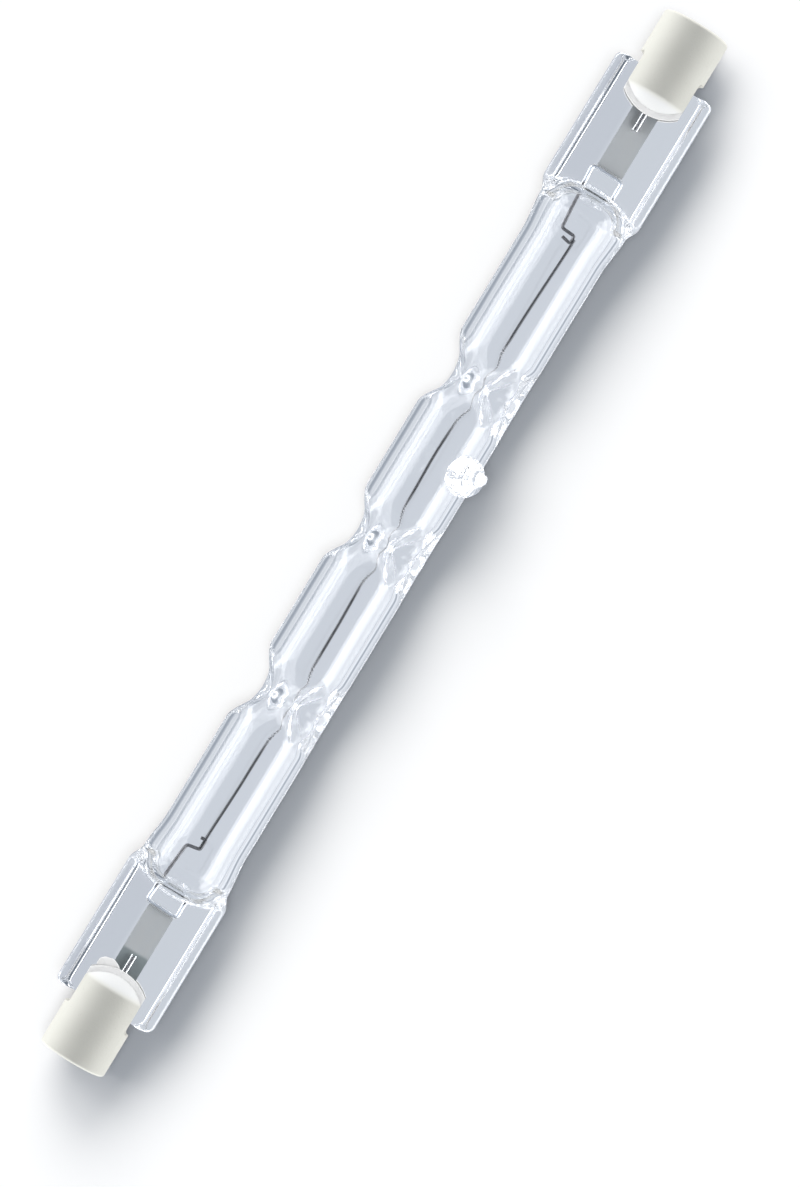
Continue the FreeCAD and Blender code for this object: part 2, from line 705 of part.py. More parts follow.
def make_cement(side, sign):
    """The cement in a cap's slot, either side of the pinch and under its end."""
    body = new_body(f"cement_{side}")
    sketch = new_sketch(body, f"cement_{side}_plan", "XY_Plane")
    half = "(cement_width / 2)"
    dome = "(cap_dome + cement_bead)"
    shoulder = f"({DOME_CENTRE} + sqrt({dome} ^ 2 - {half} ^ 2))"
    floor = "(cap_slot_depth + cement_gap)"
    draw_outline(sketch, [
        corner(f"-{floor}", half),
        corner(f"-{shoulder}", half, arc=dome),
        corner(f"-{shoulder}", f"-{half}"),
        corner(f"-{floor}", f"-{half}"),
    ])
    block = body.newObject("PartDesign::Pad", f"cement_{side}_block")
    block.Profile = sketch
    block.Midplane = True
    bind(block, "Length", "cap_slot - 2 * cement_gap")
    doc.recompute()
    bevel_at_floor(body, side, floor)
    add_slot(body, f"cement_{side}_web", "(web_thickness + 2 * cement_gap)",
             "(cap_overhang - cement_gap)")
    drill_for_lead(body, side)
    place_at_end(body, sign)
    return body


def bevel_at_floor(body, side, floor):
    """Bevels the cement's two edges at the slot's floor as the slot is bevelled there."""
    half = "(cap_slot / 2 - cement_gap)"
    for label, sign in (("below", -1), ("above", 1)):
        sketch = new_sketch(body, f"cement_{side}_{label}_outline", "XZ_Plane")
        draw_outline(sketch, [
            corner(f"-({floor} + cap_slot_bevel)", f"{sign} * {half}"),
            corner(f"-{floor}", f"{sign} * ({half} - cap_slot_bevel)"),
            corner("0", f"{sign} * ({half} - cap_slot_bevel)"),
            corner("0", f"{sign} * cap_slot"),
            corner(f"-({floor} + cap_slot_bevel)", f"{sign} * cap_slot"),
        ])
        trim = body.newObject("PartDesign::Pocket", f"cement_{side}_{label}")
        trim.Profile = sketch
        trim.Midplane = True
        bind(trim, "Length", "2 * cap_diameter")
        doc.recompute()


def drill_for_lead(body, side):
    """Bores the cement for the outer lead."""
    sketch = new_sketch(body, f"cement_{side}_bore_outline", "YZ_Plane")
    ring = sketch.addGeometry(Part.Circle(
        vector(0, value(OUTER_LEAD_PLANE)), FreeCAD.Vector(0, 0, 1),
        value("outer_lead_diameter / 2")), False)
    fix_point(sketch, ring, 3, ("0", OUTER_LEAD_PLANE), "middle")
    fix_radius(sketch, ring, "outer_lead_diameter / 2 + cement_gap", "bore")
    bore = body.newObject("PartDesign::Pocket", f"cement_{side}_bore")
    bore.Profile = sketch
    bore.Midplane = True
    bind(bore, "Length", "4 * cap_body")


def make_pieces():
    """Every piece of the lamp, by the name of its node."""
    pieces = {"glass_envelope": make_glass(), "filament": make_filament()}
    for side, sign in SIDES:
        pieces[f"inner_lead_{side}"] = make_inner_lead(f"inner_lead_{side}", sign)
        pieces[f"foil_{side}"] = make_foil(f"foil_{side}", sign, "0")
        pieces[f"outer_lead_{side}"] = make_outer_lead(f"outer_lead_{side}", sign)
        pieces[f"ceramic_cap_{side}"] = make_cap(side, sign)
        pieces[f"contact_{side}"] = make_contact(side, sign)
        pieces[f"cement_{side}"] = make_cement(side, sign)
    return pieces


def check(pieces):
    """Stops if any object failed or any piece isn't one sound solid."""
    for thing in doc.Objects:
        bad = {"Invalid", "Error"} & set(thing.State)
        if bad:
            raise RuntimeError(f"{thing.Label} is {bad}")
    for name, piece in pieces.items():
        shape = piece.Shape
        if shape.isNull() or not shape.isValid() or len(shape.Solids) != 1:
            raise RuntimeError(f"{name} isn't one sound solid")


fill_sheet()
parts = make_pieces()
doc.recompute()
check(parts)
os.makedirs("parts", exist_ok=True)
for node, part in parts.items():
    part.Label = node
    part.Shape.exportStep(os.path.join("parts", f"{node}.step"))
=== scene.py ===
import json
import math

import bmesh
import bpy
from mathutils import Matrix, Vector, noise

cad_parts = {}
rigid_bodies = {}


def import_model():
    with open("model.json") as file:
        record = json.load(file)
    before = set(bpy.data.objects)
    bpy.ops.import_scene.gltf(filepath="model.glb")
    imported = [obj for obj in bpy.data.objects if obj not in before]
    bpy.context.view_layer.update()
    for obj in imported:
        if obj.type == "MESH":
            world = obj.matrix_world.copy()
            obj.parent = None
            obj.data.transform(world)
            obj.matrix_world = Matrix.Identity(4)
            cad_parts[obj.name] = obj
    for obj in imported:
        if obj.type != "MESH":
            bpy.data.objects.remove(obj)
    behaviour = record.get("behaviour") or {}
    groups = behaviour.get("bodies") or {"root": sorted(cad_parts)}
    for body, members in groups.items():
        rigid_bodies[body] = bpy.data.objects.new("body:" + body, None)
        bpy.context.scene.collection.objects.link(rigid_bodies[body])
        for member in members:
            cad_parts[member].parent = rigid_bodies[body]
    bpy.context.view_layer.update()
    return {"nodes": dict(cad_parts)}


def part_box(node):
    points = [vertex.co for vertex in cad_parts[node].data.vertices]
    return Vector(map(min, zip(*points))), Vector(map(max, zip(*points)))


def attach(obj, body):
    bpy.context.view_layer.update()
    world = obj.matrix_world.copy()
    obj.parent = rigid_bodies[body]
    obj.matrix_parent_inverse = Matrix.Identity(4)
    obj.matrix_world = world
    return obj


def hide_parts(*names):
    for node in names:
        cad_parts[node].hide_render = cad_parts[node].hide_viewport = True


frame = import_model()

# Linear halogen bulb, lying on a pale table and seen from straight above.
# New pieces are made in millimetres and scaled to metres when they are finished.

MM = 0.001
SIDES = (("left", -1), ("right", 1))


def reach(node):
    """Lowest and highest corner of a solid's box, in millimetres."""
    low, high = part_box(node)
    return Vector(low) / MM, Vector(high) / MM


def middle_height(node):
    """Height of the middle of a solid's box."""
    low, high = reach(node)
    return (low.z + high.z) / 2


# Sizes and places that come from the solids

GLASS_END = reach("glass_envelope")[1].x
LAMP_END = reach("ceramic_cap_right")[1].x
CAP_RADIUS = reach("ceramic_cap_right")[1].y
TABLE = reach("glass_envelope")[0].z
LEAD_PLANE = middle_height("inner_lead_right")
COIL_PLANE = middle_height("filament")
OUTER_LEAD_PLANE = middle_height("outer_lead_right")

# Driving sizes of the glass, stations measured from the lamp's middle

TUBE_RADIUS = 4.45
TUBE_WALL = 1.0
FLARE = 0.35
FLARE_START = 33.2
FLARE_END = 37.4
RIPPLE = 0.012
RIPPLE_PACE = (0.16, 0.8)
SHOULDER = 2.7
WEB_START = 39.95
WEB_HEIGHT = 1.0
PINCH_EDGE = 5.4

CRIMP_PITCH = 17.9
CRIMP_MIDDLE = -0.2
CRIMPS = [CRIMP_MIDDLE + place * CRIMP_PITCH for place in (-1, 0, 1)]
CRIMP_TURN = math.radians(9)


# Small maths

def clamp(number, low=0.0, high=1.0):
    """The number, kept between two limits."""
    return max(low, min(high, number))


def mix(a, b, share):
    """A number that share of the way from a to b."""
    return a + (b - a) * share


def ease(number, start, end):
    """Rises smoothly from 0 at start to 1 at end."""
    share = clamp((number - start) / (end - start))
    return share * share * (3 - 2 * share)


def waver(x, angle, pace):
    """Smooth noise on the tube, from how fast it changes along the tube and around it."""
    along, around = pace
    return noise.noise(Vector((x * along, math.cos(angle) * around, math.sin(angle) * around)))


# Turning bmesh work into pieces

SAME_PLACE = 1e-5
ON_AXIS = 1e-6
CLOSE = 0.01
ALONG_Y = 1
ALONG_Z = 2
WIRE_ROUNDNESS = 4
BEND_STEPS = 8


def placed(name, data):
    """An object in the scene that shows a mesh, curve, lamp or camera."""
    thing = bpy.data.objects.new(name, data)
    bpy.context.scene.collection.objects.link(thing)
    return thing


def profile_edges(bm, points):
    """Verts along a line of (x, radius) points, joined by edges."""
    verts = [bm.verts.new((x, radius, 0)) for x, radius in points]
    edges = [bm.edges.new(pair) for pair in zip(verts, verts[1:])]
    return verts + edges


def turned(points, steps):
    """A closed form turned about X from half its outline."""
    bm = bmesh.new()
    bmesh.ops.spin(
        bm, geom=profile_edges(bm, points), cent=(0, 0, 0), axis=(1, 0, 0),
        dvec=(0, 0, 0), angle=math.tau, steps=steps, use_merge=True)
    bmesh.ops.remove_doubles(bm, verts=bm.verts, dist=SAME_PLACE)
    rim = [edge for edge in bm.edges if edge.is_boundary]
    if rim:
        bmesh.ops.holes_fill(bm, edges=rim)
    bmesh.ops.recalc_face_normals(bm, faces=bm.faces)
    return bm


def rounded_block(middle, size, station, axis, rounding, segments):
    """A block whose edges at one end, a station along X, are rounded where they run along an axis."""
    bm = bmesh.new()
    place = Matrix.Translation(middle) @ Matrix.Diagonal((*size, 1))
    bmesh.ops.create_cube(bm, size=1, matrix=place)
    corners = [edge for edge in bm.edges
               if all(abs(vert.co.x - station) < CLOSE for vert in edge.verts)
               and abs(edge.verts[0].co[axis] - edge.verts[1].co[axis]) > CLOSE]
    bmesh.ops.bevel(
        bm, geom=corners, offset=rounding, segments=segments, profile=0.5, affect="EDGES", material=-1)
    return bm


def as_object(bm, name):
    """A mesh object of the finished bmesh."""
    mesh = bpy.data.meshes.new(name)
    bm.to_mesh(mesh)
    bm.free()
    return placed(name, mesh)


def evaluated(thing):
    """The object's mesh with its modifiers or its curve worked out."""
    bpy.context.view_layer.update()
    shown = thing.evaluated_get(bpy.context.evaluated_depsgraph_get())
    return bpy.data.meshes.new_from_object(shown)


def boolean(base, tool, operation):
    """Joins or cuts two closed forms, and keeps the first."""
    step = base.modifiers.new("step", "BOOLEAN")
    step.operation = operation
    step.solver = "EXACT"
    step.object = tool
    mesh = evaluated(base)
    base.modifiers.clear()
    base.data = mesh
    bpy.data.objects.remove(tool)
    return base


def finish_piece(thing, material, slot, *replaced, sharp=35):
    """Scales a piece to metres, smooths it, gives it its material and hides the solids it replaces."""
    thing.data.transform(Matrix.Scale(MM, 4))
    thing.data.shade_smooth()
    thing.data.set_sharp_from_angle(angle=math.radians(sharp))
    thing.data.materials.clear()
    thing.data.materials.append(material)
    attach(thing, "root")
    if replaced:
        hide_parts(*replaced)
    return thing


def rounded_route(route):
    """A line through (point, bend radius) pairs, with its corners rounded."""
    points = []
    for index, (place, bend) in enumerate(route):
        place = Vector(place)
        if not bend:
            points.append(place)
            continue
        back = (Vector(route[index - 1][0]) - place).normalized()
        ahead = (Vector(route[index + 1][0]) - place).normalized()
        cut_back = bend / math.tan(back.angle(ahead) / 2)
        start = place + back * cut_back
        end = place + ahead * cut_back
        for step in range(BEND_STEPS + 1):
            share = step / BEND_STEPS
            points.append(start.lerp(place, share).lerp(place.lerp(end, share), share))
    return points


def bent_wire(name, route, radius):
    """A round wire along a route of (point, bend radius) pairs, as a mesh object."""
    curve = bpy.data.curves.new(name, "CURVE")
    curve.dimensions = "3D"
    curve.bevel_depth = radius
    curve.bevel_resolution = WIRE_ROUNDNESS
    curve.use_fill_caps = True
    points = rounded_route(route)
    spline = curve.splines.new("POLY")
    spline.points.add(len(points) - 1)
    for spot, place in zip(spline.points, points):
        spot.co = (*place, 1)
    holder = placed(name, curve)
    mesh = evaluated(holder)
    bpy.data.objects.remove(holder)
    mesh.name = name
    return placed(name, mesh)


# Materials

class Value:
    """A socket of a material, on which arithmetic is written as plain expressions."""

    def __init__(self, paint, socket):
        self.paint = paint
        self.socket = socket

    def _pair(self, operation, first, second):
        return self.paint.node("ShaderNodeMath", {"operation": operation}, {0: first, 1: second})

    def __add__(self, other):
        return self._pair("ADD", self, other)

    def __radd__(self, other):
        return self._pair("ADD", other, self)

    def __sub__(self, other):
        return self._pair("SUBTRACT", self, other)

    def __rsub__(self, other):
        return self._pair("SUBTRACT", other, self)

    def __mul__(self, other):
        return self._pair("MULTIPLY", self, other)

    def __rmul__(self, other):
        return self._pair("MULTIPLY", other, self)

    def __abs__(self):
        return self.paint.node("ShaderNodeMath", {"operation": "ABSOLUTE"}, {0: self})

    def rise(self, start, end):
        """0 below start, 1 above end, smooth between."""
        return self.paint.node(
            "ShaderNodeMapRange", {"interpolation_type": "SMOOTHSTEP"},
            {"Value": self, "From Min": start, "From Max": end})

    def band(self, near_edge, far_edge):
        """1 between two soft edges, each given as where it starts and ends, and 0 outside them."""
        return self.rise(*near_edge) * (1 - self.rise(*far_edge))


class Paint:
    """A material in the making, with the piece's own coordinates in millimetres."""

    def __init__(self, name):
        self.material = bpy.data.materials.new(name)
        self.material.use_nodes = True
        self.tree = self.material.node_tree
        self.shader = self.tree.nodes["Principled BSDF"]

    def node(self, kind, settings, sockets, outlet=0):
        """Adds a node: its settings first, then the numbers or links of its sockets."""
        made = self.tree.nodes.new(kind)
        for name, setting in settings.items():
            setattr(made, name, setting)
        for name, value in sockets.items():
            self.feed(made.inputs[name], value)
        return Value(self, made.outputs[outlet])

    def feed(self, socket, value):
        """Links a socket, or sets its own number or colour."""
        if isinstance(value, Value):
            self.tree.links.new(value.socket, socket)
        else:
            socket.default_value = value

    def place(self, scale=(1, 1, 1)):
        """The piece's coordinates, in millimetres times a scale."""
        spot = self.node("ShaderNodeTexCoord", {}, {}, "Object")
        return self.node(
            "ShaderNodeMapping", {},
            {"Vector": spot, "Scale": tuple(each / MM for each in scale)})

    def along(self, axis):
        """One coordinate in millimetres."""
        return self.node("ShaderNodeSeparateXYZ", {}, {"Vector": self.place()}, axis)

    def cloud(self, size, detail=3.0, stretch=(1, 1, 1)):
        """Soft noise, about 0 to 1, with blots of that size in millimetres."""
        return self.node(
            "ShaderNodeTexNoise", {},
            {"Vector": self.place(tuple(each / size for each in stretch)),
             "Scale": 1.0, "Detail": detail, "Roughness": 0.5})

    def blend(self, share, first, second):
        """A colour between two colours."""
        return self.node(
            "ShaderNodeMix", {"data_type": "RGBA"}, {0: share, 6: first, 7: second}, 2)

    def bump(self, height, strength, distance):
        """A normal for a height given in units of distance, in millimetres."""
        return self.node(
            "ShaderNodeBump", {},
            {"Height": height, "Strength": strength, "Distance": distance * MM})

    def set(self, **values):
        """Feeds the shader. base_color stands for Base Color, and so on."""
        for name, value in values.items():
            label = {"ior": "IOR"}.get(name, name.replace("_", " ").title())
            self.feed(self.shader.inputs[label], value)
        return self


# Finishes, with the spans in millimetres over which each changes into the next

GLASS_TURNS_FLAT = (38.2, 40.4)
# Painted shade: the pressed glass turns darker towards the far (+Y) side over this span.
GLASS_SHADED_FAR_SIDE = (1.3, 1.9)
# Painted light: the coil is drawn pale at each crimp, fading out over this span.
COIL_CRIMP_LIGHT_FADES = (2.6, 6.4)
# Painted light: the leads are drawn brighter where the glass seals them, between these spans.
LEAD_SEALS = (39.9, 40.5)
LEAD_SEAL_ENDS = (44, 45)
LEFT_FOIL_DARKENS = (46.5, 46.9)
RIGHT_FOIL_DARKENS = (47.5, 50.0)
CAP_NOSE_ENDS = (50.2, 51.0)

# Values of the pores' noise between which the ceramic darkens, and how far towards their tone

PORE_RISE = (0.66, 0.78)
PORE_SHARE = 0.35


def quartz_glass():
    """Clear quartz, greyer and a little blue where it is pressed flat, with painted shade that darkens the
    pressed glass on the far (+Y) side.
    """
    clear = (0.975, 0.982, 0.992, 1)
    near_flat = (0.935, 0.95, 0.965, 1)
    far_flat_shaded = (0.86, 0.875, 0.90, 1)
    paint = Paint("quartz_glass")
    # Painted shade: the far (+Y) side of the pinch gets a darker tint.
    flat = paint.blend(paint.along("Y").rise(*GLASS_SHADED_FAR_SIDE), near_flat, far_flat_shaded)
    pressed = abs(paint.along("X")).rise(*GLASS_TURNS_FLAT)
    return paint.set(
        base_color=paint.blend(pressed, clear, flat),
        roughness=0.0, ior=1.46, transmission_weight=1.0).material


def tungsten():
    """Dark coiled wire, with painted light that makes it pale where it is seen through a crimp."""
    soot = (0.02, 0.02, 0.022, 1)
    grey = (0.07, 0.07, 0.075, 1)
    pale = (0.5, 0.51, 0.53, 1)
    paint = Paint("tungsten_coil")
    tone = paint.blend(paint.cloud(0.8), soot, grey)
    # Painted light: the coil is drawn pale where it is seen through a crimp.
    for station in CRIMPS:
        away = abs(paint.along("X") - station)
        tone = paint.blend(away.rise(*COIL_CRIMP_LIGHT_FADES), pale, tone)
    return paint.set(base_color=tone, metallic=0.85, roughness=0.42).material


def molybdenum_wire():
    """Dull drawn wire with fine lines along it, with painted light that makes it brighter where the glass
    seals it.
    """
    dark = (0.10, 0.10, 0.105, 1)
    grey = (0.2, 0.2, 0.21, 1)
    bright = (0.62, 0.65, 0.7, 1)
    paint = Paint("molybdenum_wire")
    bare = paint.blend(paint.cloud(0.7), dark, grey)
    # Painted light: a brighter tone where the glass seals the wire.
    sealed = abs(paint.along("X")).band(LEAD_SEALS, LEAD_SEAL_ENDS)
    lines = paint.cloud(0.12, stretch=(0.08, 1, 1))
    return paint.set(
        base_color=paint.blend(sealed, bare, bright), metallic=0.9, roughness=0.3 + lines * 0.2,
        normal=paint.bump(lines, 0.3, 0.02)).material


def molybdenum_foil():
    """Matt rolled foil with a faint grain, darker beside the caps."""
    pale = (0.90, 0.955, 1.0, 1)
    paler = (0.96, 0.99, 1.0, 1)
    dark_left = (0.52, 0.60, 0.62, 1)
    dark_right = (0.68, 0.74, 0.80, 1)
    paint = Paint("molybdenum_foil")
    grain = paint.cloud(0.25, stretch=(0.12, 1, 1))
    tone = paint.blend(grain, pale, paler)
    station = paint.along("X")
    tone = paint.blend((0 - station).rise(*LEFT_FOIL_DARKENS), tone, dark_left)
    tone = paint.blend(station.rise(*RIGHT_FOIL_DARKENS), tone, dark_right)
    return paint.set(
        base_color=tone, metallic=0.1, roughness=0.5,
        normal=paint.bump(grain, 0.35, 0.03)).material


def steatite():
    """Cream pressed ceramic, a little chalky, whiter on the nose."""
    cream = (0.80, 0.795, 0.72, 1)
    pale_cream = (0.85, 0.845, 0.775, 1)
    pore = (0.62, 0.60, 0.54, 1)
    white = (0.88, 0.89, 0.885, 1)
    paint = Paint("steatite")
    pores = paint.cloud(0.22, detail=2.0)
    body = paint.blend(paint.cloud(2.2, detail=4.0), cream, pale_cream)
    body = paint.blend(pores.rise(*PORE_RISE) * PORE_SHARE, body, pore)
    nose = 1 - abs(paint.along("X")).rise(*CAP_NOSE_ENDS)
    return paint.set(
        base_color=paint.blend(nose, body, white), roughness=0.55 + pores * 0.2,
        normal=paint.bump(pores, 0.25, 0.05)).material


def contact_metal():
    """Satin nickel, a little uneven."""
    dull = (0.62, 0.59, 0.54, 1)
    bright = (0.74, 0.71, 0.66, 1)
    paint = Paint("contact_metal")
    marks = paint.cloud(0.3)
    return paint.set(
        base_color=paint.blend(marks, dull, bright), metallic=1.0, roughness=0.28 + marks * 0.15,
        normal=paint.bump(marks, 0.2, 0.03)).material


def cement():
    """White fired cement, rough and matt."""
    white = (0.92, 0.92, 0.91, 1)
    bright_white = (0.98, 0.98, 0.975, 1)
    paint = Paint("cement")
    lumps = paint.cloud(0.45, detail=5.0)
    return paint.set(
        base_color=paint.blend(lumps, white, bright_white), roughness=0.85,
        normal=paint.bump(lumps, 0.6, 0.12)).material


# The drawn tube and its crimps

CRIMP_DEPTH = 3.4
CRIMP_FLAT = 0.5
CRIMP_END = 4.2
CRIMP_STEEPNESS = 1.6
CRIMP_MARK = 0.08
CRIMP_MARK_PACE = (1.3, 3.0)
RIDGE_ROUND = 0.15
FOLD_REACH = 3.5
FOLD_DEPTH = 2.9
LEAST_WALL = 0.3
JAWS = 3
JAW_SHARE = math.tau / JAWS

CRIMP_SPANS = ((5.0, 0.25), (13.0, 1.0), (22.5, 0.25), (33.0, 1.2))


def stations(*spans):
    """Stations from the middle out, as (end, spacing) spans, mirrored to both sides."""
    out = [0.0]
    for end, spacing in spans:
        count = max(1, round((end - out[-1]) / spacing))
        start = out[-1]
        out += [mix(start, end, step / count) for step in range(1, count + 1)]
    return [-x for x in reversed(out[1:])] + out


def crimped(radius, x, angle):
    """Radius of the tube at a station and angle after its three-sided crimps were pressed in."""
    for station in CRIMPS:
        away = abs(x - station)
        if away < CRIMP_END:
            share = (CRIMP_END - math.hypot(away, CRIMP_FLAT)) / (CRIMP_END - CRIMP_FLAT)
            share = clamp(share) ** CRIMP_STEEPNESS
            dent = abs(math.cos(JAWS / 2 * (angle - CRIMP_TURN)))
            radius -= CRIMP_DEPTH * share * (math.hypot(dent, RIDGE_ROUND) - RIDGE_ROUND)
            radius += CRIMP_MARK * share * dent * waver(x, angle, CRIMP_MARK_PACE)
    return radius


def folded(radius, x, angle):
    """Radius of the bore after crimping: each jaw leaves a diamond-shaped fold, inside the outer skin."""
    outside = crimped(TUBE_RADIUS, x, angle)
    for station in CRIMPS:
        away = abs(x - station)
        if away < FOLD_REACH:
            turn = abs((angle - CRIMP_TURN + JAW_SHARE / 2) % JAW_SHARE - JAW_SHARE / 2)
            radius -= FOLD_DEPTH * clamp(1 - away / FOLD_REACH - turn / (JAW_SHARE / 2))
            radius = min(radius, outside - LEAST_WALL)
    return radius


def tube_section(x, angle):
    """Where a point of the drawn tube lies across its axis: flared, crimped and a little rippled."""
    radius = crimped(TUBE_RADIUS + FLARE * ease(abs(x), FLARE_START, FLARE_END), x, angle)
    radius += RIPPLE * (waver(x, angle, RIPPLE_PACE) - 1)
    return radius * math.cos(angle), radius * math.sin(angle)


# The pressed ends. The turns say which part of the round tube, in degrees from its side,
# ends as the rail's outer side, its crest, the way down to its foot, the fillet and the web.
# A pair named TOP holds the sines between which a form grows from the side to the flat top.

SIDE_TURN = 9
CREST_TURN = 26
FOOT_TURN = 38
FILLET_TURN = 46
FOOT_BEND = 150
RAIL_HEIGHT = 1.6
RAIL_ROUND = 0.5
RAIL_FOOT = 4.2
FILLET_EDGE = 4.3
WEB_EDGE = 4.0
SHOULDER_TOP = (0.1, 0.6)
SHOULDER_BOW = 1.35
SHOULDER_RETURN = 0.6
BOW_END = 41.5
WEB_FILLET = 0.3
WEB_FILLET_REACH = 0.22
WEB_FILLET_TOP = (0.2, 0.7)
PRESS_MARK = 0.015
PRESS_MARK_PACE = (0.3, 0.5)
PRESS_MARK_STARTS = (40.5, 42)
PRESS_MARK_LAYER = 3.7
TOE_ROUND = 0.6
LEFT_TOE_ROUND = 0.9


def rail_point(bend):
    """A point of a rail's round top, in degrees up from its outer side and over."""
    turn = math.radians(bend)
    y = PINCH_EDGE - RAIL_ROUND + RAIL_ROUND * math.cos(turn)
    z = RAIL_HEIGHT - RAIL_ROUND + RAIL_ROUND * math.sin(turn)
    return y, z


def pinch_section(angle):
    """Where a point of the round tube at that angle ends in the pressed section."""
    turn = math.degrees(math.asin(clamp(abs(math.sin(angle)))))
    if turn < SIDE_TURN:
        y, z = PINCH_EDGE, mix(0, RAIL_HEIGHT - RAIL_ROUND, turn / SIDE_TURN)
    elif turn < CREST_TURN:
        y, z = rail_point(mix(0, 90, (turn - SIDE_TURN) / (CREST_TURN - SIDE_TURN)))
    elif turn < FOOT_TURN:
        y, z = rail_point(mix(90, FOOT_BEND, (turn - CREST_TURN) / (FOOT_TURN - CREST_TURN)))
    elif turn < FILLET_TURN:
        share = (turn - FOOT_TURN) / (FILLET_TURN - FOOT_TURN)
        foot_y, foot_z = rail_point(FOOT_BEND)
        y = mix(mix(foot_y, FILLET_EDGE, share), mix(FILLET_EDGE, WEB_EDGE, share), share)
        z = mix(mix(foot_z, WEB_HEIGHT, share), WEB_HEIGHT, share)
    else:
        y, z = mix(WEB_EDGE, 0, (turn - FILLET_TURN) / (90 - FILLET_TURN)), WEB_HEIGHT
    return math.copysign(y, math.cos(angle)), math.copysign(z, math.sin(angle))


def shoulder_line(y):
    """Station at which the shoulder meets the web, at that distance from the axis."""
    away = abs(y)
    bow = SHOULDER_BOW * min((away / RAIL_FOOT) ** 2, 1)
    back = SHOULDER_RETURN * clamp((away - RAIL_FOOT) / (PINCH_EDGE - RAIL_FOOT))
    return WEB_START - bow + back


def toe(x, angle):
    """How far the pinch draws in at its free end, more on the left but for its upper far corner."""
    wide = x < 0 and angle % math.tau > math.pi / 2
    rounding = LEFT_TOE_ROUND if wide else TOE_ROUND
    into = clamp((abs(x) - (GLASS_END - rounding)) / rounding)
    return rounding * (1 - math.sqrt(1 - into ** 2))


def shoulder_point(x, angle):
    """A point of the shoulder, where the round tube turns into the pressed section."""
    round_y, round_z = tube_section(x, angle)
    flat_y, flat_z = pinch_section(angle)
    start = WEB_START - SHOULDER
    turn = (abs(x) - start) / SHOULDER * math.pi / 2
    steep = 1 - math.cos(turn)
    even = ease(math.sin(turn), 0, 1)
    share = mix(even, steep, ease(abs(math.sin(angle)), *SHOULDER_TOP))
    station = mix(start, shoulder_line(mix(round_y, flat_y, 0.5)), math.sin(turn))
    return Vector((math.copysign(station, x), mix(round_y, flat_y, share), mix(round_z, flat_z, share)))


def web_point(x, angle):
    """A point of the pressed end: web, rails and the fillet at the shoulder's foot."""
    flat_y, flat_z = pinch_section(angle)
    meets = shoulder_line(mix(tube_section(x, angle)[0], flat_y, 0.5))
    station = abs(x)
    if station < BOW_END:
        station = meets + (station - WEB_START) * (BOW_END - meets) / (BOW_END - WEB_START)
    on_web = ease(abs(math.sin(angle)), *WEB_FILLET_TOP)
    fillet = WEB_FILLET * math.exp(-(station - meets) / WEB_FILLET_REACH) * on_web
    flat_y -= math.copysign(toe(x, angle), flat_y)
    along, across = PRESS_MARK_PACE
    layer = math.copysign(PRESS_MARK_LAYER, flat_z)
    mark = noise.noise(Vector((x * along, flat_y * across, layer)))
    raised = fillet + PRESS_MARK * mark * ease(abs(x), *PRESS_MARK_STARTS)
    return Vector((math.copysign(station, x), flat_y, flat_z + math.copysign(raised, flat_z)))


# Skins of the glass, with (end, spacing) spans of the stations along them

OUTER_SPANS = (*CRIMP_SPANS, (WEB_START - SHOULDER, 0.25), (WEB_START, 0.11), (BOW_END, 0.14),
               (51.8, 0.8), (GLASS_END, 0.12))
OUTER_STEPS = 176
END_RIM = 0.08
END_DOME = 0.03

BORE = TUBE_RADIUS - TUBE_WALL
BORE_FLARE = 0.2
BORE_END = 36.8
DOME_LENGTH = 2.1
NECK_RADIUS = 1.45
NOSE_START = 38.95
NOSE_LENGTH = 0.65
NOSE_RADIUS = 1.35
INNER_STEPS = 112
INNER_RIPPLE_PACE = 0.2
INNER_RIPPLE_LAYER = 9


def shape_all(bm, shape):
    """Moves every vertex off the axis from its place on a plain turned form to its real one."""
    for vert in bm.verts:
        if vert.co.yz.length > ON_AXIS:
            vert.co = shape(vert.co, math.atan2(vert.co.z, vert.co.y))


def outer_skin(place, angle):
    """A point of the glass's outer skin, from its place on a plain tube."""
    if abs(place.x) <= WEB_START - SHOULDER:
        return Vector((place.x, *tube_section(place.x, angle)))
    if abs(place.x) < WEB_START:
        return shoulder_point(place.x, angle)
    return web_point(place.x, angle)


def inner_skin(place, angle):
    """A point of the bulb space's wall, from its place on the plain turned form."""
    radius = folded(place.yz.length, place.x, angle)
    spot = (place.x * INNER_RIPPLE_PACE, math.cos(angle), math.sin(angle) + INNER_RIPPLE_LAYER)
    radius += RIPPLE * noise.noise(Vector(spot))
    return Vector((place.x, radius * math.cos(angle), radius * math.sin(angle)))


def glass_outside():
    """The outer skin: a tube, crimped, flared, and pressed flat at both ends."""
    bm = turned([(x, TUBE_RADIUS) for x in stations(*OUTER_SPANS)], OUTER_STEPS)
    ends = [face for face in bm.faces if len(face.verts) > 4]
    shape_all(bm, outer_skin)
    bmesh.ops.inset_region(bm, faces=ends, thickness=END_RIM, depth=END_DOME)
    return as_object(bm, "glass_envelope_clear")


def bulb_space():
    """The gas-filled space, with rounded ends and a shallow nose at each."""
    right = [(x, BORE + BORE_FLARE * ease(x, FLARE_START, BORE_END))
             for x in stations(*CRIMP_SPANS, (BORE_END, 0.3)) if x >= 0]
    for turn in range(6, 90, 6):
        x = BORE_END + DOME_LENGTH * math.sin(math.radians(turn))
        right.append((x, mix(NECK_RADIUS, BORE + BORE_FLARE, math.cos(math.radians(turn)))))
    for turn in range(10, 90, 10):
        x = NOSE_START + NOSE_LENGTH * math.sin(math.radians(turn))
        right.append((x, NOSE_RADIUS * math.cos(math.radians(turn))))
    right.append((NOSE_START + NOSE_LENGTH, 0))
    left = [(-x, radius) for x, radius in reversed(right[1:])]
    bm = turned(left + right, INNER_STEPS)
    shape_all(bm, inner_skin)
    return as_object(bm, "bulb_space")


# The exhaust tip, made along X, with lines of (height over the tube's skin, radius) points

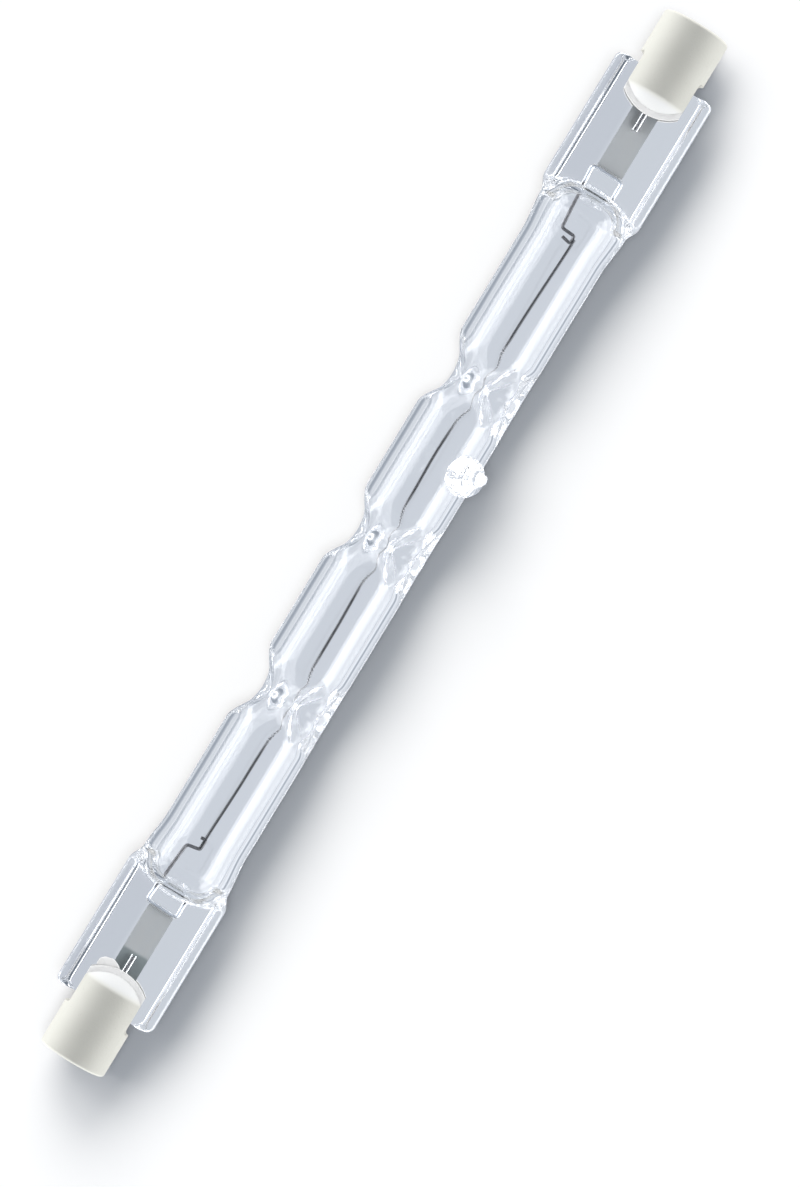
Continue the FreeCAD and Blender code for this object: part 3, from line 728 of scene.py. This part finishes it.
TIP_STATION = 9.45
TIP_TURN = math.radians(137)
TIP_LEAN = math.radians(14)
TIP_BALL = 2.05
TIP_TAIL = ((1.55, 1.12), (1.9, 0.8), (2.25, 0.62), (2.5, 0.55), (2.68, 0.46), (2.78, 0.28), (2.8, 0))
TIP_STEPS = 96
TIP_DENT = 0.07
WIDE_DENT_PACE = 0.8
FINE_DENT_PACE = 3.0
TIP_SEED = 7
TIP_HOLE = ((-0.2, 0.3), (0.25, 0.26), (0.5, 0.18), (0.65, 0.08), (0.7, 0))
HOLE_FOOT = -TUBE_WALL - 0.9
HOLE_RADIUS = 0.32
HOLE_STEPS = 32


def stand_on_tube(bm):
    """Sets a form made along X on the tube, in the exhaust tip's direction."""
    lean = Matrix.Rotation(math.pi / 2 - TIP_LEAN, 4, "Z")
    turn = Matrix.Rotation(TIP_TURN, 4, "X")
    foot = turn @ Vector((TIP_STATION, TUBE_RADIUS, 0))
    bm.transform(Matrix.Translation(foot) @ turn @ lean)


def exhaust_tip():
    """The melted ball with its drawn-off tail, uneven all over."""
    turns = [math.radians(turn) for turn in range(0, 127, 3)]
    ball = [(-TIP_BALL * math.cos(turn), TIP_BALL * math.sin(turn)) for turn in turns]
    bm = turned([*ball, *TIP_TAIL], TIP_STEPS)
    noise.seed_set(TIP_SEED)
    for vert in bm.verts:
        wide = TIP_DENT * noise.noise_vector(vert.co * WIDE_DENT_PACE)
        fine = TIP_DENT * noise.noise_vector(vert.co * FINE_DENT_PACE)
        vert.co += wide + fine
    stand_on_tube(bm)
    return as_object(bm, "exhaust_tip")


def exhaust_bore():
    """The sealed exhaust hole inside the tip."""
    bm = turned([(HOLE_FOOT, 0), (HOLE_FOOT, HOLE_RADIUS), *TIP_HOLE], HOLE_STEPS)
    stand_on_tube(bm)
    return as_object(bm, "exhaust_bore")


# The inner leads' lines, each point with the radius of its bend: short leg, cross leg on the
# foil, long leg, foot and hook. The glass seals them as far as a share of the long leg.

LEAD_LINES = {
    -1: (((-39.7, -1.55), 0), ((-41.8, -1.62), 0.5), ((-41.7, 1.8), 0.5), ((-36.4, 1.38), 0.6),
         ((-35.2, 1.25), 0.35), ((-34.95, -0.12), 0.3), ((-33.75, -0.16), 0.25), ((-33.85, 0.42), 0)),
    1: (((39.9, -1.6), 0), ((42.0, -1.62), 0.5), ((42.1, 1.78), 0.5), ((36.6, 1.28), 0.6),
        ((35.35, 1.18), 0.35), ((35.25, -0.3), 0.3), ((34.35, -0.36), 0.25), ((34.6, 0.7), 0)),
}
LEAD_RADIUS = 0.175
LEAD_CHANNEL_RADIUS = 0.235
LEAD_CHANNEL_START = 0.1
SEALED_SHARE = 0.46
OUTER_CHANNEL_RADIUS = 0.31
OUTER_CHANNEL_START = 46.95
OUTER_CHANNEL_END = GLASS_END - 0.08


def lead_route(sign):
    """An inner lead's line at its height, as (point, bend radius) pairs."""
    return [((x, y, LEAD_PLANE), bend) for (x, y), bend in LEAD_LINES[sign]]


def wire_channels(sign):
    """The thin gaps that the cooled glass leaves round the sealed wires."""
    (start, _), second, third, (knee, _) = lead_route(sign)[:4]
    start = Vector(start) + Vector((sign * LEAD_CHANNEL_START, 0, 0))
    over = Vector(third[0]).lerp(Vector(knee), SEALED_SHARE)
    inner = bent_wire("inner_channel", [(start, 0), second, third, (over, 0)], LEAD_CHANNEL_RADIUS)
    ends = [Vector((sign * x, 0, OUTER_LEAD_PLANE)) for x in (OUTER_CHANNEL_START, OUTER_CHANNEL_END)]
    outer = bent_wire("outer_channel", [(end, 0) for end in ends], OUTER_CHANNEL_RADIUS)
    return [inner, outer]


def turned_inside_out(thing):
    """Turns a closed form's faces inwards, so that it is a space in the glass."""
    bm = bmesh.new()
    bm.from_mesh(thing.data)
    bmesh.ops.recalc_face_normals(bm, faces=bm.faces)
    bmesh.ops.reverse_faces(bm, faces=bm.faces)
    bm.to_mesh(thing.data)
    bm.free()
    return thing


def joined(first, others):
    """One object that holds the first one's mesh and the others'."""
    bm = bmesh.new()
    for thing in (first, *others):
        bm.from_mesh(thing.data)
    bm.to_mesh(first.data)
    bm.free()
    for thing in others:
        bpy.data.objects.remove(thing)
    return first


def make_glass(material):
    """The whole envelope, with its spaces as skins that face inwards."""
    outside = boolean(glass_outside(), exhaust_tip(), "UNION")
    inside = boolean(bulb_space(), exhaust_bore(), "UNION")
    spaces = [inside, *wire_channels(-1), *wire_channels(1)]
    glass = joined(outside, [turned_inside_out(each) for each in spaces])
    return finish_piece(glass, material, "quartz_glass", "glass_envelope", sharp=50)


# The coil, the leads and the foils

COIL_WAVE = ((-34.9, -0.05), (-26, -0.25), (-18, -0.38), (-10, -0.3), (-3, -0.14), (5, 0.16),
             (10, 0.28), (15, 0.15), (24, -0.2), (35.0, -0.5))
COIL_RADIUS = 0.125
COIL_WIRE_RADIUS = 0.052
COIL_WIRE_SIDES = 6
TURN_STEPS = 12
STRETCH_TURNS = 10
STRETCHES = 40
STRETCH_SEAM = 0.002
FOIL_CORNER = 0.35
FOIL_CORNER_STEPS = 5


def coil_line(x):
    """Sideways place of the coil's middle at a station."""
    for (x0, y0), (x1, y1) in zip(COIL_WAVE, COIL_WAVE[1:]):
        if x <= x1:
            return mix(y0, y1, ease(x, x0, x1))
    return COIL_WAVE[-1][1]


def coil_stretch(start, pace):
    """The first turns of the coil, wound from a station at a pace along the axis per step."""
    bm = bmesh.new()
    bmesh.ops.create_circle(
        bm, cap_ends=False, radius=COIL_WIRE_RADIUS, segments=COIL_WIRE_SIDES,
        matrix=Matrix.Translation((start, COIL_RADIUS, 0)))
    bmesh.ops.spin(
        bm, geom=bm.verts[:] + bm.edges[:], cent=(0, 0, 0), axis=(1, 0, 0), dvec=(pace, 0, 0),
        angle=math.tau * STRETCH_TURNS, steps=TURN_STEPS * STRETCH_TURNS)
    return as_object(bm, "coil_stretch")


def make_filament(material):
    """The coil: one fine wire wound in four hundred turns along a slightly wavy line."""
    low, high = reach("filament")
    steps = TURN_STEPS * STRETCH_TURNS
    pace = (high.x - low.x - 2 * COIL_WIRE_RADIUS) / (steps * STRETCHES)
    stretch = coil_stretch(low.x + COIL_WIRE_RADIUS, pace)
    array = stretch.modifiers.new("whole_coil", "ARRAY")
    array.use_relative_offset = False
    array.use_constant_offset = True
    array.constant_offset_displace = (pace * steps, 0, 0)
    array.count = STRETCHES
    array.use_merge_vertices = True
    array.merge_threshold = STRETCH_SEAM
    bm = bmesh.new()
    bm.from_mesh(evaluated(stretch))
    bpy.data.objects.remove(stretch)
    rims = [edge for edge in bm.edges if edge.is_boundary]
    bmesh.ops.holes_fill(bm, edges=rims)
    bmesh.ops.recalc_face_normals(bm, faces=bm.faces)
    for vert in bm.verts:
        vert.co += Vector((0, coil_line(vert.co.x), COIL_PLANE))
    coil = as_object(bm, "filament_coil")
    return finish_piece(coil, material, "tungsten_coil", "filament", sharp=80)


def make_inner_lead(side, sign, material):
    """The bent wire that carries one end of the filament."""
    wire = bent_wire(f"lead_wire_{side}", lead_route(sign), LEAD_RADIUS)
    return finish_piece(wire, material, "molybdenum_wire", f"inner_lead_{side}", sharp=50)


def make_foil(side, sign, material):
    """The sealed strip, whose rounded inner end lies under the inner lead's cross leg."""
    low, high = reach(f"foil_{side}")
    inner = abs(lead_route(sign)[1][0][0])
    outer = max(abs(low.x), abs(high.x))
    middle = (sign * (inner + outer) / 2, 0, (low.z + high.z) / 2)
    size = (outer - inner, high.y - low.y, high.z - low.z)
    block = rounded_block(middle, size, sign * inner, ALONG_Z, FOIL_CORNER, FOIL_CORNER_STEPS)
    strip = as_object(block, f"foil_strip_{side}")
    return finish_piece(strip, material, "molybdenum_foil", f"foil_{side}")


# The caps, made with their outer face at 0 and the nose towards -X, with (station, radius) points

CAP_BODY = 8.0
CAP_EDGE = 0.35
CAP_STEPS = 96
CAP_BREAK = ((0.12, 0), (-0.06, -0.05))
LEAD_HOLE = 0.8
RECESS_LINE = ((-2.45, LEAD_HOLE), (-2.45, 2.05), (-1.7, 2.05), (-1.7, 2.3),
               (-0.15, 2.3), (-0.04, 2.34), (0, 2.45))
NOSE_DOME = 4.4
DOME_STEPS = 14
SLOT_DEPTH = 4.75
SLOT_SIZE = (10, 20, 3.4)
SLOT_ROUND = 0.4
SLOT_ROUND_STEPS = 4
CAP_BEVEL = 0.1
SMEAR_PLACE = (-49.05, 1.55, WEB_HEIGHT + 0.1)
SMEAR_SIZE = (0.75, 1.15, 0.07)
SMEAR_WAVER = 0.3
SMEAR_PACE = 1.6
SMEAR_LAYER = 5


def cap_outline():
    """Half the outline of a cap, from its lead hole through the recess and back over the nose."""
    points = [*RECESS_LINE]
    for degrees in range(0, 91, 15):
        turn = math.radians(degrees)
        points.append((CAP_EDGE * (math.cos(turn) - 1), CAP_RADIUS + CAP_EDGE * (math.sin(turn) - 1)))
    points += [(-CAP_BODY + back, CAP_RADIUS + out) for back, out in CAP_BREAK]
    centre = CAP_BODY - math.sqrt(NOSE_DOME ** 2 - CAP_RADIUS ** 2)
    widest = math.asin(CAP_RADIUS / NOSE_DOME)
    narrowest = math.asin(LEAD_HOLE / NOSE_DOME)
    for step in range(1, DOME_STEPS + 1):
        turn = mix(widest, narrowest, step / DOME_STEPS)
        points.append((-centre - NOSE_DOME * math.cos(turn), NOSE_DOME * math.sin(turn)))
    return [*points, points[0]]


def cap_slot():
    """The space for the pinch, with rounded inner corners."""
    middle = (-SLOT_DEPTH - SLOT_SIZE[0] / 2, 0, 0)
    block = rounded_block(middle, SLOT_SIZE, -SLOT_DEPTH, ALONG_Y, SLOT_ROUND, SLOT_ROUND_STEPS)
    return as_object(block, "slot")


def make_cap(side, sign, material):
    """A ceramic cap with rounded edges, its recess and the slot for the pinch."""
    cap = as_object(turned(cap_outline(), CAP_STEPS), f"cap_{side}")
    cap = boolean(cap, cap_slot(), "DIFFERENCE")
    bevel = cap.modifiers.new("soft_edges", "BEVEL")
    bevel.width = CAP_BEVEL
    bevel.segments = 2
    bevel.limit_method = "ANGLE"
    bevel.angle_limit = math.radians(40)
    cap.data = evaluated(cap)
    cap.modifiers.clear()
    turn = Matrix.Identity(4) if sign > 0 else Matrix.Rotation(math.pi, 4, "Z")
    cap.data.transform(Matrix.Translation((sign * LAMP_END, 0, 0)) @ turn)
    return finish_piece(cap, material, "steatite", f"ceramic_cap_{side}", sharp=40)


def make_smear(material):
    """A thin smear of cement that ran onto the left pinch beside the cap's nose."""
    bm = bmesh.new()
    bmesh.ops.create_uvsphere(bm, u_segments=48, v_segments=16, radius=1)
    for vert in bm.verts:
        spot = Vector((vert.co.x * SMEAR_PACE, vert.co.y * SMEAR_PACE, SMEAR_LAYER))
        edge = 1 + SMEAR_WAVER * noise.noise(spot)
        spread = (edge, edge, 1)
        vert.co = [middle + half * wide * along for middle, half, wide, along
                   in zip(SMEAR_PLACE, SMEAR_SIZE, spread, vert.co)]
    smear = as_object(bm, "cement_smear_left")
    return finish_piece(smear, material, "cement", sharp=60)


# Making the lamp

quartz = quartz_glass()
tungsten_metal = tungsten()
lead_metal = molybdenum_wire()
foil_metal = molybdenum_foil()
ceramic = steatite()
nickel = contact_metal()
white_cement = cement()

glass_piece = make_glass(quartz)
make_filament(tungsten_metal)
make_smear(white_cement)
for side, sign in SIDES:
    make_inner_lead(side, sign, lead_metal)
    make_foil(side, sign, foil_metal)
    make_cap(side, sign, ceramic)
    for node, material in (("outer_lead", lead_metal), ("contact", nickel), ("cement", white_cement)):
        kept = frame["nodes"][f"{node}_{side}"]
        kept.data.materials.clear()
        kept.data.materials.append(material)


# The table. The camera sees it plain and pale, with the lamp's shadow. Glass and metal see bands painted on
# it beside the lamp: painted shadow under and beside the lamp, painted dark shade lines, and painted light
# that makes the table farther out brighter than white, each between two soft edges in millimetres from the
# lamp's axis.

TABLE_HALF = 6.0
TABLE_COLOUR = (0.94, 0.94, 0.94, 1)
SHADOW_LIFT = (0.04, 0.045, 0.055, 1)
# Painted shadow: the table under the lamp, as glass and metal see it.
SHADOW_UNDER_LAMP = (0.64, 0.675, 0.73, 1)
# Painted light: the table farther out glows brighter than white.
PAINTED_LIGHT_AWAY = (1.4, 1.43, 1.47, 1)
PAINTED_LIGHT_STARTS = (11, 20)
# Painted shade: dark lines on the table beside the tube and the pinches.
TUBE_SHADE_LINE = (0.26, 0.30, 0.36, 1)
PINCH_SHADE_LINE = (0.12, 0.15, 0.19, 1)
PINCH_SHADE_LINE_STARTS = (38.5, 39.5)
FAR_SHADE_LINE = ((4.8, 5.6), (6.6, 9.0))
LINE_DRAW_IN = 1.6
DRAW_IN_ENDS = (0.8, 4.4)
# Painted shade: a darker band farther out on both sides.
OUTER_SHADE_BAND = ((14.5, 15.5), (18, 19.5))
OUTER_SHADE_TONE = (0.75, 0.79, 0.85, 1)
# Painted half-shade and a painted dark line on the near (-Y) side.
NEAR_HALF_SHADE_BAND = ((5.4, 6.2), (9, 14))
NEAR_HALF_SHADE_TONE = (0.84, 0.88, 0.95, 1)
NEAR_SHADE_LINE = ((6.8, 7.4), (8.6, 9.2))
NEAR_SHADE_LINE_TONE = (0.36, 0.40, 0.46, 1)
MATT_TONE = (0.36, 0.365, 0.37, 1)


def table_painted_shading(paint, ray):
    """The colour of the table that glass, metal and matt pieces see: painted shadow, painted shade lines
    and painted light for glass and metal, one even tone for matt pieces.
    """
    side = paint.along("Y")
    tone = paint.blend(abs(side).rise(*PAINTED_LIGHT_STARTS), SHADOW_UNDER_LAMP, PAINTED_LIGHT_AWAY)
    # Painted shade: the tone of the dark lines beside the tube and the pinches.
    line = paint.blend(abs(paint.along("X")).rise(*PINCH_SHADE_LINE_STARTS), TUBE_SHADE_LINE, PINCH_SHADE_LINE)
    drawn_in = side
    for station in CRIMPS:
        from_crimp = abs(paint.along("X") - station)
        drawn_in = drawn_in + LINE_DRAW_IN * (1 - from_crimp.rise(*DRAW_IN_ENDS))
    tone = paint.blend(drawn_in.band(*FAR_SHADE_LINE), tone, line)
    tone = paint.blend(abs(side).band(*OUTER_SHADE_BAND), tone, OUTER_SHADE_TONE)
    near = 0 - side
    tone = paint.blend(near.band(*NEAR_HALF_SHADE_BAND), tone, NEAR_HALF_SHADE_TONE)
    tone = paint.blend(near.band(*NEAR_SHADE_LINE), tone, NEAR_SHADE_LINE_TONE)
    return paint.blend(Value(paint, ray.outputs["Is Diffuse Ray"]), tone, MATT_TONE)


def table_material():
    """Pale table that takes the lamp's shadow, with painted shadow, painted shade lines and painted light
    beside the lamp in its reflections.
    """
    paint = Paint("table_white")
    paint.tree.nodes.remove(paint.shader)
    ray = paint.tree.nodes.new("ShaderNodeLightPath")
    reflected = paint.node(
        "ShaderNodeEmission", {}, {"Color": table_painted_shading(paint, ray), "Strength": 1.0})
    lit = paint.node("ShaderNodeBsdfDiffuse", {}, {"Color": TABLE_COLOUR})
    lift = paint.node("ShaderNodeEmission", {}, {"Color": SHADOW_LIFT, "Strength": 1.0})
    shaded = paint.node("ShaderNodeAddShader", {}, {0: lit, 1: lift})
    seen = Value(paint, ray.outputs["Is Camera Ray"])
    whole = paint.node("ShaderNodeMixShader", {}, {0: seen, 1: reflected, 2: shaded})
    paint.feed(paint.tree.nodes["Material Output"].inputs["Surface"], whole)
    paint.material.cycles.emission_sampling = "NONE"
    return paint.material


def make_table():
    """The table's top, just under the glass, TABLE_HALF metres to each side."""
    bm = bmesh.new()
    height = Matrix.Translation((0, 0, TABLE * MM))
    bmesh.ops.create_grid(bm, x_segments=1, y_segments=1, size=TABLE_HALF, matrix=height)
    top = as_object(bm, "table")
    top.data.materials.append(table_material())
    return top


table = make_table()

glass_and_metal = bpy.data.collections.new("glass_and_metal")
pale_pieces = bpy.data.collections.new("ceramic_and_cement")
cement_pieces = bpy.data.collections.new("cement_only")
shading_pieces = bpy.data.collections.new("everything_but_glass")
only_table = bpy.data.collections.new("only_table")
only_table.objects.link(table)
for thing in bpy.context.scene.objects:
    if thing.type == "MESH" and thing is not table:
        finish = thing.data.materials[0]
        pale = finish in (ceramic, white_cement)
        (pale_pieces if pale else glass_and_metal).objects.link(thing)
        if finish is white_cement:
            cement_pieces.objects.link(thing)
        if thing is not glass_piece:
            shading_pieces.objects.link(thing)


# Long soft boxes beside the lamp: name, side, elevation of the top edge in degrees, strength.
# Their distance and length are in metres.

SIDE_LAMPS = (("side_lamp_far", 1, 26, 4.2), ("side_lamp_near", -1, 38, 3.6))
SIDE_LAMP_AWAY = 0.32
SIDE_LAMP_LENGTH = 0.62

# Distant lights: directions, widths in degrees, strengths and tints

WINDOW_ALONG = (0.15, 0.7, 1.25)
WINDOW_ACROSS = 0.74
WINDOW_WIDTH = 36
WINDOW_STRENGTH = 0.235
WINDOW_TINT = (1.0, 0.975, 0.94)
CEILING_DIRECTION = (-0.05, -0.05, 1)
CEILING_WIDTH = 20
CEILING_STRENGTH = 0.255
CEILING_TINT = (0.88, 0.94, 1.0)
PALE_LIGHTS = (("far", (0, 1, 0.07), 0.80), ("near", (0, -1, 0.07), 0.58),
               ("left", (-1, 0, 0.1), 0.85), ("right", (1, 0, 0.1), 0.85))
PALE_LIGHT_WIDTH = 50
CEMENT_LIGHT_STRENGTH = 0.42
OVERHEAD = (0, 0, 1)
WHITE_LIGHT = (1.0, 1.0, 1.0)


def side_lamp(name, side, top, strength):
    """A long soft box beside the lamp, from the table up to an elevation, for glass and metal."""
    height = SIDE_LAMP_AWAY * math.tan(math.radians(top))
    light = bpy.data.lights.new(name, "AREA")
    light.shape = "RECTANGLE"
    light.size = SIDE_LAMP_LENGTH
    light.size_y = height
    light.energy = strength * math.pi * SIDE_LAMP_LENGTH * height
    thing = placed(name, light)
    thing.location = (0, side * SIDE_LAMP_AWAY, TABLE * MM + height / 2)
    thing.rotation_euler = (math.radians(90), 0, 0 if side < 0 else math.pi)
    thing.visible_camera = False
    thing.light_linking.receiver_collection = glass_and_metal
    thing.light_linking.blocker_collection = shading_pieces


def soft_light(name, direction, width, strength, tint, lit, blocked_by=None):
    """A wide distant light that only some things take, as bright on a surface facing it as its strength."""
    light = bpy.data.lights.new(name, "SUN")
    light.energy = math.pi * strength
    light.color = tint
    light.angle = math.radians(width)
    thing = placed(name, light)
    thing.rotation_euler = Vector(direction).to_track_quat("Z", "Y").to_euler()
    thing.light_linking.receiver_collection = lit
    if blocked_by:
        thing.light_linking.blocker_collection = blocked_by


for lamp in SIDE_LAMPS:
    side_lamp(*lamp)
for number, along in enumerate(WINDOW_ALONG):
    strength = WINDOW_STRENGTH * math.hypot(along, WINDOW_ACROSS, 1)
    soft_light(f"window_{number}", (along, WINDOW_ACROSS, 1), WINDOW_WIDTH, strength,
               WINDOW_TINT, only_table)
soft_light("ceiling", CEILING_DIRECTION, CEILING_WIDTH, CEILING_STRENGTH, CEILING_TINT, only_table)
for name, direction, strength in PALE_LIGHTS:
    soft_light(f"pale_light_{name}", direction, PALE_LIGHT_WIDTH, strength, WHITE_LIGHT,
               pale_pieces, pale_pieces)
soft_light("cement_light", OVERHEAD, PALE_LIGHT_WIDTH, CEMENT_LIGHT_STRENGTH, WHITE_LIGHT,
           cement_pieces, pale_pieces)


# The room, white to the camera and greyer to what glass, metal and matt pieces see of it

ROOM_SHADE = (0.12, 0.127, 0.14, 1)
ROOM_FOR_RAYS = (("Is Diffuse Ray", ROOM_SHADE), ("Is Glossy Ray", (0.24, 0.27, 0.31, 1)),
                 ("Is Transmission Ray", (0.66, 0.69, 0.745, 1)), ("Is Camera Ray", (1, 1, 1, 1)))


def backdrop(room, tint):
    """An even background of one colour."""
    made = room.nodes.new("ShaderNodeBackground")
    made.inputs["Color"].default_value = tint
    return made


def studio_world():
    """A room that shows each kind of ray its own even background."""
    world = bpy.data.worlds.new("studio")
    world.use_nodes = True
    room = world.node_tree
    room.nodes.clear()
    ray = room.nodes.new("ShaderNodeLightPath")
    seen = backdrop(room, ROOM_SHADE)
    for kind, tint in ROOM_FOR_RAYS:
        choose = room.nodes.new("ShaderNodeMixShader")
        room.links.new(ray.outputs[kind], choose.inputs[0])
        room.links.new(seen.outputs[0], choose.inputs[1])
        room.links.new(backdrop(room, tint).outputs[0], choose.inputs[2])
        seen = choose
    shown = room.nodes.new("ShaderNodeOutputWorld")
    room.links.new(seen.outputs[0], shown.inputs["Surface"])
    world.cycles.sampling_method = "NONE"
    return world


# Light bounces many times inside the folded glass, and not at all between matt pieces

scene = bpy.context.scene
scene.world = studio_world()
scene.view_settings.view_transform = "Standard"
scene.cycles.caustics_reflective = False
scene.cycles.caustics_refractive = False
scene.cycles.max_bounces = 96
scene.cycles.transmission_bounces = 64
scene.cycles.glossy_bounces = 64
scene.cycles.diffuse_bounces = 0

# The camera, straight above the lamp, in metres

CAMERA_PLACE = (-0.003424, -0.003842, 0.5)
CAMERA_TURN = math.radians(-58.7589)
VIEW_HEIGHT = 0.11569
SENSOR = 36.0


def look_from_above():
    """The camera, whose picture takes in VIEW_HEIGHT from top to bottom at the lamp's axis."""
    camera_data = bpy.data.cameras.new("camera")
    camera_data.sensor_fit = "VERTICAL"
    camera_data.sensor_height = SENSOR
    camera_data.lens = SENSOR * CAMERA_PLACE[2] / VIEW_HEIGHT
    camera_data.clip_start = 0.01
    camera_data.clip_end = 20.0
    camera = placed("camera", camera_data)
    camera.location = CAMERA_PLACE
    camera.rotation_euler = (0, 0, CAMERA_TURN)
    return camera


scene.camera = look_from_above()
